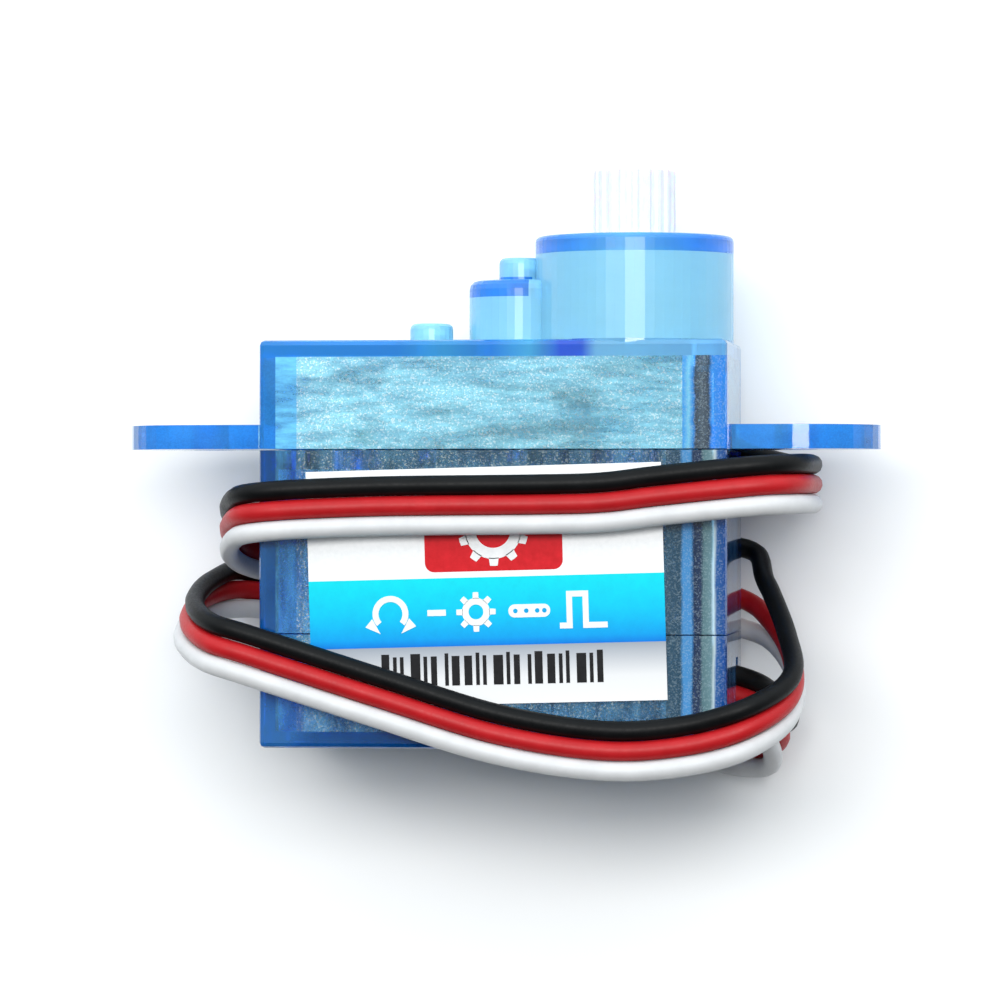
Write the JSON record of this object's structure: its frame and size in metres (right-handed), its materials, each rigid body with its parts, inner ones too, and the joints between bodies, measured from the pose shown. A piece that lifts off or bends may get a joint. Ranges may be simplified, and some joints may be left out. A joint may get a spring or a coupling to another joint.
{
  "type": "hobby servo motor",
  "caption": "Micro hobby servo with translucent case, mounting ears, splined output shaft on a reduction gear train, and a flat lead with its connector wound about the case.",
  "frame": {"origin": "where the output shaft's axis meets the case's bottom face", "axes": "+Y along the output shaft, away from the case bottom; +X along the case's length, from the motor end to the output end; +Z out of the labelled face, up as the servo lies on its back"},
  "size_m": [0.0329, 0.0267, 0.0126],
  "materials": {
    "case_blue": "translucent light blue, moulded",
    "case_deep_blue": "translucent deep blue, moulded",
    "printed_label": "printed film label",
    "white_nylon": "natural white nylon",
    "bright_steel": "bright",
    "brass": "plain",
    "copper_winding": "enamelled copper winding",
    "magnet": "bonded ferrite",
    "dark_plastic": "satin",
    "pot_housing": "satin",
    "green_board": "solder mask",
    "capacitor_tan": "ceramic",
    "resistor_black": "ceramic",
    "black_insulation": "satin PVC",
    "red_insulation": "satin PVC",
    "white_insulation": "satin PVC"
  },
  "bodies": {
    "servo_case": {"top_cover": "case_blue", "middle_case": "case_deep_blue", "bottom_cover": "case_deep_blue", "label": "printed_label", "front_case_screw": "bright_steel", "back_case_screw": "bright_steel", "left_gear_pin": "bright_steel", "middle_gear_pin": "bright_steel", "motor_can": "bright_steel", "motor_magnet": "magnet", "motor_end_cap": "dark_plastic", "motor_terminal_1": "brass", "motor_terminal_2": "brass", "pot_body": "pot_housing", "pot_leg_1": "bright_steel", "pot_leg_2": "bright_steel", "pot_leg_3": "bright_steel", "circuit_board": "green_board", "controller_chip": "dark_plastic", "capacitor": "capacitor_tan", "resistor": "resistor_black", "black_wire": "black_insulation", "red_wire": "red_insulation", "white_wire": "white_insulation", "connector_housing": "dark_plastic", "contact_1": "brass", "contact_2": "brass", "contact_3": "brass"},
    "output": {"output_gear": "white_nylon", "pot_shaft": "white_nylon"},
    "fourth_gear": {"fourth_gear": "white_nylon"},
    "third_gear": {"third_gear": "white_nylon"},
    "second_gear": {"second_gear": "white_nylon"},
    "first_gear": {"first_gear": "white_nylon"},
    "motor_rotor": {"motor_pinion": "brass", "motor_shaft": "bright_steel", "motor_armature": "copper_winding"}
  },
  "joints": [
    {"name": "output_turn", "type": "hinge", "parent": "servo_case", "child": "output", "pos_m": [0, 0.02, 0], "axis": [0, 1, 0], "range_deg": [-90, 90]},
    {"name": "fourth_gear_turn", "type": "hinge", "parent": "servo_case", "child": "fourth_gear", "pos_m": [-0.00499, 0.015, 0], "axis": [0, 1, 0], "range_deg": [-227, 227]},
    {"name": "third_gear_turn", "type": "hinge", "parent": "servo_case", "child": "third_gear", "pos_m": [-0.00892, 0.015, 0], "axis": [0, 1, 0], "range_deg": [-677, 677]},
    {"name": "second_gear_turn", "type": "hinge", "parent": "servo_case", "child": "second_gear", "pos_m": [-0.00499, 0.015, 0], "axis": [0, 1, 0], "range_deg": [-2027, 2027]},
    {"name": "first_gear_turn", "type": "hinge", "parent": "servo_case", "child": "first_gear", "pos_m": [-0.00892, 0.015, 0], "axis": [0, 1, 0], "range_deg": [-6077, 6077]},
    {"name": "motor_rotor_turn", "type": "hinge", "parent": "servo_case", "child": "motor_rotor", "pos_m": [-0.01195, 0.015, 0], "axis": [0, 1, 0], "range_deg": [-19745.75, 19745.75]}
  ],
  "couplings": [
    {"joint": "fourth_gear_turn", "follows": "output_turn", "ratio": -2.5},
    {"joint": "third_gear_turn", "follows": "output_turn", "ratio": 7.5},
    {"joint": "second_gear_turn", "follows": "output_turn", "ratio": -22.5},
    {"joint": "first_gear_turn", "follows": "output_turn", "ratio": 67.5},
    {"joint": "motor_rotor_turn", "follows": "output_turn", "ratio": -219.38}
  ]
}
